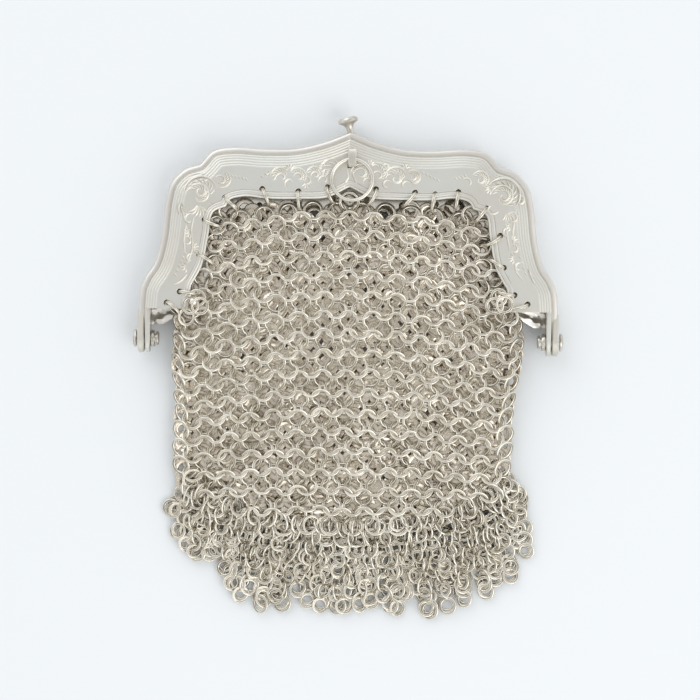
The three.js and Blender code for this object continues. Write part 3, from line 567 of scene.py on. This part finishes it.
def engraving():
    """Bright crests with a warm tint and a painted highlight, and thin dark lines of painted shade beside
    them and along the arch.
    """
    level = FRAME_DEPTH - 0.005
    bright, dark = [], []

    def stroke(points, width, height=0.07):
        points = np.asarray(points, float)
        along = np.gradient(points, axis=0)
        along /= np.linalg.norm(along, axis=1)[:, None]
        beside = points + np.stack([along[:, 1], -along[:, 0]], axis=1) * (width * 0.5 + 0.06)
        bright.append(ridge(points, width, height, level))
        # A thin dark line beside each crest paints the shade of its cut.
        dark.append(ridge(beside, 0.17, SHADE_LINE_RISE, level))

    for x, y, r0, r1, a0, a1 in SCROLLS:
        stroke(spiral(x, y, r0, r1, a0, a1), 0.36)
        if r0 > 1.5:
            turns = np.linspace(a0, a1, max(4, int(abs(a1 - a0) / 20)))
            for k, turn in enumerate(turns):
                r = r0 + (r1 - r0) * k / len(turns)
                sweep_on = math.copysign(26, a1 - a0)
                stroke(spiral(x, y, r * 0.84, r * 0.56, turn, turn + sweep_on), 0.2, 0.05)
    for row in STEMS:
        stroke(through(row, 16), 0.34)
    for x, y, reach, a0, a1, count in LEAVES:
        for angle in np.radians(np.linspace(a0, a1, count)):
            start = np.array([x + 0.35 * math.cos(angle), y + 0.35 * math.sin(angle)])
            end = np.array([x + reach * math.cos(angle + 0.25), y + reach * math.sin(angle + 0.25)])
            bow = (start + end) / 2 + 0.12 * reach * np.array([-math.sin(angle), math.cos(angle)])
            stroke(through([start, bow, end], 8), 0.3)
    for first, last, count in DOTS:
        for t in np.linspace(0, 1, count):
            x, y = np.array(first) * (1 - t) + np.array(last) * t
            stroke([(x - 0.2, y + 0.25), (x, y), (x + 0.25, y - 0.3)], 0.3)
    # Two dark lines along the borders of the arch are painted shade.
    for reach, width in ((-1.42, 0.2), (-0.5, 0.16)):
        dark.append(ridge(inset(edge_rail, reach)[2:-2], width, SHADE_LINE_RISE, level, taper=False))
    return bright, dark


def inner_lip():
    """Raised double border that follows the edge of the arch."""
    low = PLATE_LOW + 0.05
    borders = []
    for rows in (BEAD_ROWS, BAND_ROWS):
        raised = [(reach, FRAME_DEPTH + rise) for reach, rise in rows]
        borders.append(sweep(edge_rail, [(rows[0][0], low), *raised, (rows[-1][0], low)]))
    return borders


def staple_slots():
    half = STAPLE_WIDTH / 2 + 0.15
    return [box_loop(RING_X - half, RING_X + half, y - 0.65, y + 0.15)
            for y in (STAPLE_TOP, STAPLE_LOW + STAPLE_STRIP)]


def front_frame():
    """Moulded rim, pierced plate, borders and legs of the front half."""
    rail = shifted(front_rail, FRONT_INSET)
    top, wide = FRAME_DEPTH, MOULDING_ROWS[-1][0]
    moulding = sweep(rail, [
        (0, FRONT_RIM_LOW), *((reach, top - drop) for reach, drop in MOULDING_ROWS),
        (wide, PLATE_LOW), (2.2, PLATE_LOW - 0.5), (SHEET, PLATE_LOW - 1.0), (SHEET, FRONT_RIM_LOW),
    ])
    border = np.concatenate([inset(rail, MOULDING), inset(edge_rail, 0)[::-1]])
    holes = [circle(x * HALF, y * FRAME_HEIGHT, PLATE_HOLE) for x, y, _ in FRONT_HOLES]
    sheet = plate(border, holes + staple_slots(), PLATE_LOW, top)
    leg = legs(FRONT_LEG, PLATE_END + 0.7, FRONT_RIM_LOW, top - 1.15, 0.2)
    return [moulding, sheet, *inner_lip(), *leg]


def back_frame():
    """Rim with panel and webs, sewing strip, and legs of the back half."""
    rim = sweep(rim_rail, [*RIM_OUTSIDE, (MOULDING, 0), (MOULDING, STRIP_TOP), *RIM_INSIDE])
    outer = inset(back_rail, MOULDING - 0.1)
    step, step_outer = inset(step_rail, 0), inset(step_rail, -SHEET)
    edge = inset(edge_rail, BACK_LIP)
    panel = plate(np.concatenate([outer, step[::-1]]), [], 0, SHEET)
    riser = plate(np.concatenate([step_outer, step[::-1]]), [], 0, STRIP_TOP)
    holes = [circle(x, y, STRIP_HOLE) for x, y in BACK_HOLES]
    strip = plate(np.concatenate([step, edge[::-1]]), holes, STRIP_LOW, STRIP_TOP)
    leg = legs(BACK_LEG, BACK_END + 2.9, 0.45, RIM_TOP - 0.3, 0.25)
    return [rim, panel, riser, gusset(-1), gusset(1)], [strip], leg


WEB_IN, WEB_RUN, WEB_TOP = 34.4, 7.7, 7.2
WEB_HEIGHT, WEB_THICK, WEB_DROP = 4.6, 0.35, 3.2


def gusset(side):
    """Pleated web between a leg and the sewing strip, thick enough to hold its folds."""
    across, down = 22, 8
    verts = []
    for layer_drop in (0, WEB_THICK):
        for i in range(across + 1):
            t = i / across
            x = WEB_IN + t * WEB_RUN
            low = PLATE_END - 0.1 - WEB_DROP * min(t / 0.68, 1)
            for j in range(down + 1):
                y = WEB_TOP + (low - WEB_TOP) * j / down
                reach = y - low + 0.5 * math.sin(7 * t)
                fold = math.sin(2.3 * reach) + 0.4 * math.sin(4.9 * reach + 6 * t)
                verts.append((side * x, y, WEB_HEIGHT + 0.3 * fold - 1.2 * t - layer_drop))
    row, count = down + 1, (across + 1) * (down + 1)
    faces = []

    def quad(a, b, c, d):
        faces.append((a, b, c, d) if side > 0 else (d, c, b, a))

    for i in range(across):
        for j in range(down):
            a = i * row + j
            quad(a, a + 1, a + row + 1, a + row)
            quad(count + a, count + a + row, count + a + row + 1, count + a + 1)
        for j, flip in ((0, 1), (down, 0)):
            a = i * row + j
            wall = (a, a + row, count + a + row, count + a)
            quad(*(wall if flip else wall[::-1]))
    for j in range(down):
        for i, flip in ((0, 0), (across, 1)):
            a = i * row + j
            wall = (a, a + 1, count + a + 1, count + a)
            quad(*(wall[::-1] if flip else wall)[::-1])
    return np.array(verts), faces


piece("front_frame_dressed", front_frame(), plate_metal, "purse", ["front_frame"])
crests, cut_shade_lines = engraving()
piece("front_engraving", crests, engraved_tint_and_highlight, "purse")
# The cuts are thin dark lines of painted shade.
piece("front_engraving_painted_shade", cut_shade_lines, cut_shade_metal, "purse")
back_shell, back_strip, back_legs = back_frame()
piece("back_frame_dressed", back_shell, rim_metal, "purse", ["back_frame"])
# The strip's lighter finish is painted light.
piece("back_strip_dressed", back_strip, strip_painted_light_metal, "purse", ["back_frame"])
piece("back_legs_dressed", back_legs, leg_metal, "purse", ["back_frame"])


# Hinges, clasp, ring

def hinge_rivet(side):
    profile = [(0.35, 40.30), (1.0, 40.33), (1.42, 40.5), (1.52, 40.75), (1.44, 40.94), (1.0, 40.94),
               (1.0, 45.14), (1.72, 45.14), (1.92, 45.25), (1.9, 45.5), (1.6, 45.76), (1.0, 45.92),
               (0.35, 45.94)]
    return [lathe(profile, 22, (0, 0, HINGE_HEIGHT), (side, 0, 0), wobble=0.025)]


def hinge_washer(side):
    profile = [(1.3, 41.24), (1.72, 41.27), (1.82, 41.4), (1.82, 41.98), (1.72, 42.1), (1.3, 42.14),
               (1.28, 41.7)]
    return [lathe(profile, 22, (0, 0, HINGE_HEIGHT), (side, 0, 0), wobble=0.012)]


for side, word in ((-1, "left"), (1, "right")):
    piece(f"rivet_{word}", hinge_rivet(side), fitting_metal, "purse", [f"hinge_rivet_{word}"])
    piece(f"washer_{word}", hinge_washer(side), fitting_metal, "purse", [f"hinge_washer_{word}"])


def clasp():
    px, py, pz = PIVOT
    axis = (-math.sin(LEAN), math.cos(LEAN), 0)
    turned = [(0.68, 2.9), (0.72, 6.2), (0.78, 6.7), (0.98, 7.2), (1.3, 7.6), (1.9, 7.85), (2.12, 8.0),
              (2.17, 8.25), (2.12, 8.6), (1.9, 8.88), (1.4, 9.0), (0.5, 9.05)]
    knob = lathe(turned, 30, PIVOT, axis, wobble=0.006)

    def turned_loop(loop):
        c, s = math.cos(LEAN), math.sin(LEAN)
        return [(px + x * c - y * s, py + x * s + y * c) for x, y in loop]

    low, high = pz - LEVER_HALF, pz + LEVER_HALF
    arm = slab(turned_loop(box_loop(-ARM_HALF, ARM_HALF, 0, ARM_LENGTH)), low, high, "XY")
    tooth = slab(turned_loop(box_loop(-TOOTH_REACH, 0, TOOTH_LOW, TOOTH_TOP)), low, high, "XY")
    rows = [(1.1, -0.5), (1.78, -0.5), (1.9, -0.38), (1.9, 0.38), (1.78, 0.5), (1.1, 0.5)]
    eye = lathe(rows, 28, PIVOT, (0, 0, 1))
    return [knob, arm, tooth, eye]


def staple():
    """Bent strip over the ring, its feet turned in below the plate."""
    top = FRAME_DEPTH + 0.6 + 2 * RING_WIRE + RING_GAP + STAPLE_STRIP
    toe = PLATE_LOW - 0.3
    strip, foot = STAPLE_STRIP, STAPLE_FOOT
    inner = [(0.02, top - 0.7), (0, toe - strip), (foot, toe - strip), (foot, toe), (strip, toe),
             (strip, top - 0.8), (0.75, top - strip)]
    crown = [(0.25, top - 0.2), (0.8, top)]
    side = [(STAPLE_LOW + a, z) for a, z in inner]
    side += [(STAPLE_TOP - a, z) for a, z in inner[::-1] + crown]
    side += [(STAPLE_LOW + a, z) for a, z in crown[::-1]]
    return [slab(side, RING_X - STAPLE_WIDTH / 2, RING_X + STAPLE_WIDTH / 2, bevel=0.16)]


def carrying_ring():
    wire = round_section(2 * RING_WIRE, 2 * RING_WIRE, 12)
    return rings([(RING_X, RING_Y, RING_Z)], [(1, 0, 0)], [(0, 1, 0)], RING_RADIUS, wire, 72, squeeze=0)


piece("clasp_dressed", clasp(), fitting_metal, "clasp", ["clasp_lever"])
piece("staple_dressed", staple(), ring_metal, "purse", ["ring_staple"])
piece("ring_dressed", carrying_ring(), ring_metal, "ring", ["carrying_ring"])


# Mail

# Height of the middles of the front and back layers down the purse
LAYERS = np.array([(30, 6.1, 2.6), (10, 6.1, 2.2), (3.3, 6.0, 1.6), (-1.7, 5.6, 1.35), (-8.3, 4.8, 1.3),
                   (-15, 4.3, 1.3), (-23, 3.9, 1.3), (-32, 3.7, 1.3), (-42, 3.3, 1.3)])[::-1]
# Down the purse: half width of the mail, its drift sideways, and how far its rows sag at the sides
WIDTHS = np.array([(4.5, 36.4), (2.0, 36.6), (-2.0, 36.2), (-7.0, 35.5), (-20, 34.9), (-45, 34.5)])[::-1]
SWAYS = np.array([(5, 0), (-4, -0.1), (-14, -0.7), (-26, -1.0), (-45, -1.0)])[::-1]
DROOPS = np.array([(30, 4.4), (5, 5.0), (-8, 4.2), (-20, 2.6), (-36, 0.6), (-45, 0.3)])[::-1]


def layer(y, k):
    return np.interp(y, LAYERS[:, 0], LAYERS[:, k])


def ripple(x, y, k):
    return (0.5 * np.sin(0.23 * x + 0.31 * y + k) + 0.35 * np.sin(0.41 * x - 0.19 * y + 2.1 * k)
            + 0.25 * np.sin(0.11 * x + 0.53 * y + 3.7 * k))


def inside(points, loop):
    """Whether each point is inside a closed loop."""
    x, y = points[:, 0], points[:, 1]
    hit = np.zeros(len(points), bool)
    for (x0, y0), (x1, y1) in zip(loop, np.roll(loop, -1, axis=0)):
        crosses = (y0 > y) != (y1 > y)
        with np.errstate(divide="ignore", invalid="ignore"):
            at = (x1 - x0) * (y - y0) / (y1 - y0) + x0
        hit ^= crosses & (x < at)
    return hit


def wrapped(u, y):
    """Place and outward direction round the flattened tube, at a share of its girth from the middle."""
    half = np.interp(y, WIDTHS[:, 0], WIDTHS[:, 1])
    front, back = layer(y, 1), layer(y, 2)
    r = (front - back) / 2
    flat = half - r
    total = 4 * flat + 2 * math.pi * r
    u = (u * total + total / 2) % total - total / 2
    side, d = math.copysign(1, u), abs(u)
    if d < flat:
        return u, front, 0.0, 1.0
    if d < flat + math.pi * r:
        s, c = math.sin((d - flat) / r), math.cos((d - flat) / r)
        return side * (flat + r * s), back + r + r * c, side * s, c
    return side * (2 * flat + math.pi * r - d), back, 0.0, -1.0


def lattice(columns, half_row, front):
    """Middles and directions of the rings of one side of the mail."""
    found = []
    first = int((FRAME_HEIGHT * 0.68 - BAG_TOP) / half_row)
    rows = int((BAG_TOP - BAG_LOW) / half_row)
    arch = inset(edge_rail, 2.1 if front else 1.9) * ((1.075, 1) if front else (1.05, 1))
    arch = np.concatenate([[(-33.5, -5)], arch, [(33.5, -5)]])
    for row in range(-first, rows + 1):
        middle_y = BAG_TOP - row * half_row
        shift = 0.5 * (row % 2)
        lean = 1 if row % 2 else -1
        droop = np.interp(middle_y, DROOPS[:, 0], DROOPS[:, 1])
        for column in range(columns):
            share = ((column + shift) / columns + 0.5) % 1 - 0.5
            x, z, nx, nz = wrapped(share, middle_y)
            if (nz > -0.2) != front:
                continue
            y = middle_y - droop * (x / 34) ** 2
            above = y > BAG_TOP - 0.4
            if above and (abs(nx) > 0.01 or not inside(np.array([(x, y)]), arch)[0]):
                continue
            if y < BAG_CURVE_Y:
                reach = (BAG_HALF - 1.2) * math.sqrt(max(1 - ((y - BAG_CURVE_Y) / (BAG_ROUND - 0.4)) ** 2, 0))
                if abs(x) > reach:
                    continue
            x += 0.22 * ripple(x, y, 1) + np.interp(y, SWAYS[:, 0], SWAYS[:, 1])
            y += 0.2 * ripple(x, y, 2)
            z += 0.22 * ripple(x, y, 3) if front else 0
            found.append((x, y, z, nx, nz, lean * math.radians(MAIL_TILT if front else BACK_TILT)))
    return np.array(found)


def mail(rows, segments, wander, radius, radial):
    """Rings at their places in the lattice, each a little off its place and lean."""
    x, y, z, nx, nz, tilt = rows.T
    n = len(rows)
    normal = np.stack([nx, np.zeros(n), nz], axis=1)
    down = np.tile([0.0, -1.0, 0.0], (n, 1))
    across = np.cross(down, normal)
    tilt = tilt + wander * rng.standard_normal(n).clip(-1.6, 1.6)
    yaw = 0.8 * wander * rng.standard_normal(n).clip(-1.8, 1.8)
    along = down * np.cos(tilt)[:, None] + normal * np.sin(tilt)[:, None]
    axis = np.cross(across, along)
    across = across * np.cos(yaw)[:, None] + axis * np.sin(yaw)[:, None]
    along = np.cross(np.cross(across, along), across)
    along /= np.linalg.norm(along, axis=1)[:, None]
    centres = np.stack([x, y, z], axis=1) + 0.11 * rng.standard_normal((n, 3)) * (1, 1, 0.7)
    radius = radius * (1 + 0.02 * rng.standard_normal(n))
    return rings(centres, across, along, radius, section(radial, MAIL_AXIAL), segments)


# Rings that have slid over the lower corners of the plate: place, height above it, lean across and along
LOOSE = [
    (-32.2, 8.6, 0.1, 4, 3), (-31.5, 6.9, 0.5, -7, 6), (-33.5, 7.0, 0.3, 5, -8), (-34.4, 4.6, -0.9, -24, 8),
    (31.9, 9.4, 0.1, 6, -4), (33.1, 7.9, 0.4, -5, 7), (31.0, 7.6, 0.2, 3, 6), (34.4, 5.2, -0.8, 18, -12),
]


def loose():
    centres, across, along = [], [], []
    for x, y, rise, a, b in LOOSE:
        a, b = math.radians(a), math.radians(b)
        centres.append((x, y, FRAME_DEPTH + 0.3 + rise))
        across.append((math.cos(a), 0, math.sin(a)))
        along.append((-math.sin(a) * math.sin(b), math.cos(b), math.cos(a) * math.sin(b)))
    return rings(centres, across, along, MAIL_RADIUS * 0.86, section(0.62, MAIL_AXIAL), 26)


BEADS = [(-32.9, 7.8), (32.4, 9.3)]


def beads():
    """Two flattened rings, closed to small domes, that lie on the corners of the plate."""
    dome = [(0.3, 0), (0.78, 0.08), (0.84, 0.3), (0.7, 0.52), (0.42, 0.64), (0.12, 0.68)]
    return [lathe(dome, 18, (x, y, FRAME_DEPTH + 0.02), (0, 0, 1), wobble=0.05) for x, y in BEADS]


piece("mail_loose", loose(), mail_metal, "purse")
piece("mail_beads", beads(), ring_metal, "purse")
front_rows = lattice(COLUMNS, HALF_ROW, True)
back_rows = lattice(BACK_COLUMNS, BACK_HALF_ROW, False)
upper = front_rows[:, 1] > BAG_SPLIT
for name, rows in (("mail_front_upper", front_rows[upper]), ("mail_front_lower", front_rows[~upper])):
    wall = mail(rows, SEGMENTS, WANDER, MAIL_RADIUS, MAIL_RADIAL)
    piece(name, wall, mail_metal, "purse", ["mesh_bag"])
back_wall = mail(back_rows, BACK_SEGMENTS, BACK_WANDER, BACK_RADIUS, BACK_RADIAL)
# The back mail's lighter finish is painted light.
piece("mail_back", back_wall, back_mail_painted_light_metal, "purse", ["mesh_bag"])


def hanging(places, height, radius, lean_out):
    """Jump rings on edge from their holes, each turned a little out of the upright."""
    centres, across, along = [], [], []
    for x, y, degrees in places:
        turn = math.radians(degrees)
        way = np.array([math.cos(turn), math.sin(turn), 0])
        side = np.array([-math.sin(turn), math.cos(turn), 0])
        lean = math.radians(lean_out) * rng.uniform(-1, 1)
        up = np.array([0, 0, 1]) * math.cos(lean) + side * math.sin(lean)
        centres.append(np.array([x, y, height]) + way * (radius - 0.15))
        across.append(way)
        along.append(up)
    return rings(centres, across, along, radius, section(0.56, 0.7), 32, squeeze=0.02)


front_places = [(x * HALF, y * FRAME_HEIGHT, degrees) for x, y, degrees in FRONT_HOLES]
back_places = [(x, y, math.degrees(math.atan2(6 - y, -x * 0.7))) for x, y in BACK_HOLES]
front_nodes = sorted(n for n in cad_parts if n.startswith("jump_ring_front"))
back_nodes = sorted(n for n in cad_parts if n.startswith("jump_ring_back"))
front_sewing = hanging(front_places, FRAME_DEPTH - 0.9, 1.95, 16)
piece("front_jumps", front_sewing, mail_metal, "purse", front_nodes)
piece("back_jumps", hanging(back_places, 2.3, 1.9, 10), mail_metal, "purse", back_nodes)


# Fringe

FRINGE_LENGTH = 17.8
LINK_RADIUS, LINK_STEP = 1.55, 2.45
LINK_RADIAL, LINK_AXIAL, LINK_SEGMENTS = 0.66, 0.46, 16
LINK_JITTER = 0.12
# Strands that share a root, and how high each starts
TUFT = 4
TUFT_RISE = (0.4, 1.3, 2.0, 0.9)
# Strands from left to right: lean in degrees and length as a share
STRANDS = [
    (-25, 0.4), (-18, 0.6), (-19, 0.62), (-18, 0.58), (-15, 0.68), (-12, 0.84), (-9, 0.92), (-6, 0.95),
    (-5, 0.86), (-4, 0.83), (-3, 0.9), (0, 0.85), (2, 0.88), (4, 0.83), (5, 0.91), (7, 0.92), (9, 1),
    (12, 1), (15, 0.97), (18, 0.96), (22, 0.93), (26, 0.84), (31, 0.64), (36, 0.42),
]


def strand(i, root):
    """Middle, two directions and radius of each link of one strand, laid out from its root."""
    at = (i + 0.5) / TUFT - 0.5
    lean, share = (np.interp(at, range(len(STRANDS)), column) for column in zip(*STRANDS))
    lean = math.radians(lean + rng.uniform(-7, 7))
    length = share * FRINGE_LENGTH
    if i % TUFT:
        length *= rng.uniform(0.5, 0.96)
    way = np.array([math.sin(lean), -math.cos(lean)])
    side = np.array([way[1], -way[0]])
    count = max(int(length / LINK_STEP), 2)
    phase, swing = rng.uniform(0, 6.3), rng.uniform(0.3, 0.9)
    links = []
    for k in range(-1, count + 2):
        last = k == count + 1
        t = (k - 0.7) / count if last else k / count
        p = root + way * (t * (length - LINK_RADIUS)) + side * swing * math.sin(phase + 4.2 * t) * t
        flat = k >= count or (k + i) % 2 == 0 or rng.random() < 0.5
        tilt = math.radians(rng.uniform(6, 22) if flat else rng.uniform(48, 74)) * rng.choice([-1, 1])
        roll = rng.uniform(-0.5, 0.5)
        z = 0.4 + LINK_RADIUS * abs(math.sin(tilt)) * 0.85 + (1 - min(t, 1)) * TUFT_RISE[i % TUFT]
        z += 0.5 if last else 0
        d = np.array([*(way * math.cos(roll) + side * math.sin(roll)), 0])
        across = np.array([-d[1], d[0], 0]) * math.cos(tilt) + np.array([0, 0, 1]) * math.sin(tilt)
        centre = (p[0] + rng.normal(0, LINK_JITTER), p[1] + rng.normal(0, LINK_JITTER), z)
        links.append((centre, across, d, LINK_RADIUS * rng.uniform(0.92, 1.08) * (1.15 if k < 1 else 1)))
    return links


def fringe():
    turn = np.linspace(-math.pi, 0, 400)
    arc_y = BAG_CURVE_Y + (BAG_ROUND + 0.9) * np.sin(turn)
    arc = np.stack([(BAG_HALF - 0.6) * np.cos(turn) + 0.3, arc_y], axis=1)
    roots = evenly(arc, TUFT * len(STRANDS) + 1)
    links = [link for i in range(TUFT * len(STRANDS)) for link in strand(i, roots[i + 1])]
    centres, across, along, radius = zip(*links)
    wire = section(LINK_RADIAL, LINK_AXIAL)
    return rings(centres, across, along, np.array(radius), wire, LINK_SEGMENTS)


piece("fringe_strands", fringe(), mail_metal, "purse", ["fringe"])


# Floor, light, camera

FLOOR_REACH = 2.5
SKY_STRENGTH = 0.85
# Daylight from below to overhead: place and brightness
SKY = [(0.0, 0.7), (0.06, 1.0), (0.16, 1.42), (0.42, 1.42), (0.62, 0.98), (0.82, 0.78), (1.0, 0.72)]
# Lamps: name, place, size, power, colour
LAMPS = [
    ("key", (0.5, -0.4, 0.75), 0.8, 2.6, (1.0, 0.99, 0.97)),
    ("fill", (-0.35, 0.6, 0.65), 0.8, 1.4, (0.97, 0.98, 1.0)),
]
VIEW_HEIGHT, VIEW_FIELD, VIEW_ROLL = 0.7, 0.1486, 0.62
VIEW_MIDDLE = (0.00043, 0.00337)


def floor():
    mesh = bpy.data.meshes.new("floor")
    corners = box_loop(-FLOOR_REACH, FLOOR_REACH, -FLOOR_REACH, FLOOR_REACH)
    mesh.from_pydata([(x, y, 0) for x, y in corners.tolist()], [], [(0, 1, 2, 3)])
    mesh.materials.append(floor_material())
    obj = bpy.data.objects.new("floor", mesh)
    scene.collection.objects.link(obj)


def area(name, place, size, power, colour):
    data = bpy.data.lights.new(name, "AREA")
    data.shape, data.size, data.energy, data.color = "DISK", size, power, colour
    obj = bpy.data.objects.new(name, data)
    obj.location = place
    obj.rotation_euler = (-Vector(place)).to_track_quat("-Z", "Y").to_euler()
    scene.collection.objects.link(obj)


def daylight():
    world = bpy.data.worlds.new("studio")
    world.use_nodes = True
    nodes, links = world.node_tree.nodes, world.node_tree.links
    place = nodes.new("ShaderNodeTexCoord")
    split = nodes.new("ShaderNodeSeparateXYZ")
    ramp = nodes.new("ShaderNodeValToRGB")
    while len(ramp.color_ramp.elements) < len(SKY):
        ramp.color_ramp.elements.new(0.5)
    for element, (height, light) in zip(ramp.color_ramp.elements, SKY):
        element.position, element.color = height, (light * 0.985, light, light * 1.01, 1)
    links.new(place.outputs["Generated"], split.inputs["Vector"])
    links.new(split.outputs["Z"], ramp.inputs["Fac"])
    links.new(ramp.outputs["Color"], nodes["Background"].inputs["Color"])
    nodes["Background"].inputs["Strength"].default_value = SKY_STRENGTH
    scene.world = world


def view():
    """Camera straight above, turned as the purse lies."""
    camera = bpy.data.objects.new("camera", bpy.data.cameras.new("camera"))
    camera.data.angle = 2 * math.atan(VIEW_FIELD / 2 / VIEW_HEIGHT)
    camera.location = (*VIEW_MIDDLE, FRAME_DEPTH * MM + VIEW_HEIGHT)
    camera.rotation_euler = (0, 0, math.radians(VIEW_ROLL))
    camera.data.clip_start = 0.01
    scene.collection.objects.link(camera)
    return camera


floor()
daylight()
for lamp in LAMPS:
    area(*lamp)
bpy.context.scene.camera = view()
scene.view_settings.view_transform = "Standard"
